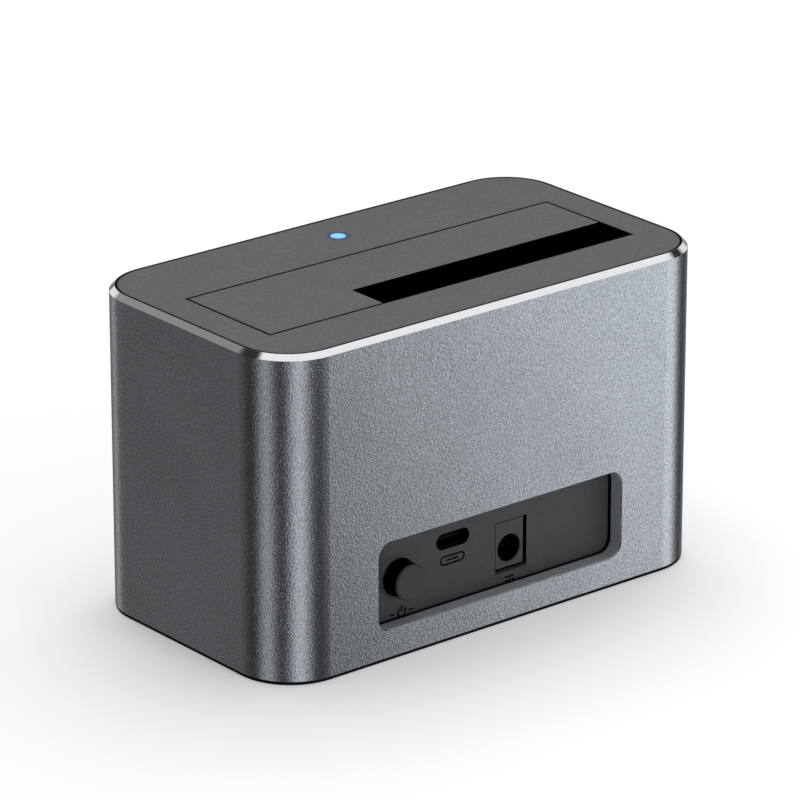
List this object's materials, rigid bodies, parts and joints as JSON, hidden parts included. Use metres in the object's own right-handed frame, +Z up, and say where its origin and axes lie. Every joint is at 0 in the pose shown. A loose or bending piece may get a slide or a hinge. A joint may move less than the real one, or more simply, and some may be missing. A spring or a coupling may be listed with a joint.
{
  "type": "hard drive docking station",
  "caption": "Upright docking station for a bare hard drive: aluminium sleeve, top bay with a sprung flap, socket panel with push button, USB-C and DC sockets.",
  "frame": {"origin": "on the table, under the middle of the case", "axes": "+X along the case's length, to the right when the socket side is faced; +Y from the socket side to the side with the light; +Z up"},
  "size_m": [0.124, 0.069, 0.076],
  "materials": {
    "anodised_aluminium": "bead-blasted and anodised grey, polished chamfer",
    "black_shell_plastic": "fine spark-eroded matt",
    "frame_plastic": "moulded, satin",
    "panel_plastic": "fine matt",
    "button_plastic": "satin",
    "connector_plastic": "moulded, semi-matt",
    "circuit_board": "solder mask",
    "chip_epoxy": "moulded epoxy",
    "ferrite": "sintered",
    "tinned_metal": "tinned",
    "black_nickel": "black nickel plate, satin",
    "gilt_contacts": "gold flash",
    "zinc_steel": "bright zinc",
    "led_lens": "clear moulding lit blue",
    "foot_rubber": "matt"
  },
  "bodies": {
    "housing": {"outer_sleeve": "anodised_aluminium", "top_bezel": "black_shell_plastic", "door_hinge_rod": "zinc_steel", "door_springs": "zinc_steel", "drive_cradle": "frame_plastic", "sata_receptacle": "connector_plastic", "sata_contacts": "gilt_contacts", "main_pcb": "circuit_board", "bridge_chip": "chip_epoxy", "flash_chip": "chip_epoxy", "clock_crystal": "tinned_metal", "voltage_regulator": "chip_epoxy", "power_inductors": "ferrite", "electrolytic_capacitors": "tinned_metal", "chip_resistors": "chip_epoxy", "status_led": "led_lens", "led_light_pipe": "led_lens", "port_panel": "panel_plastic", "push_switch_body": "connector_plastic", "switch_pins": "tinned_metal", "usb_c_shell": "black_nickel", "usb_c_tongue": "connector_plastic", "usb_c_contacts": "gilt_contacts", "dc_jack_housing": "connector_plastic", "dc_jack_pin": "black_nickel", "dc_jack_spring": "black_nickel", "dc_jack_tails": "tinned_metal", "base_plate": "frame_plastic", "base_screws": "zinc_steel", "rubber_feet": "foot_rubber"},
    "bay_door": {"bay_door": "black_shell_plastic"},
    "power_button": {"power_button": "button_plastic", "switch_plunger": "connector_plastic"}
  },
  "joints": [
    {"name": "bay_door_hinge", "type": "hinge", "parent": "housing", "child": "bay_door", "pos_m": [0, 0.0124, 0.07182], "axis": [1, 0, 0], "range_deg": [0, 90], "stiffness_Nm_per_rad": 0.002, "springref_deg": -68.75, "deforming": ["door_springs"]},
    {"name": "power_button_press", "type": "slide", "parent": "housing", "child": "power_button", "axis": [0, 1, 0], "range_m": [0, 0.002], "stiffness_N_per_m": 300, "springref_m": -0.002}
  ]
}
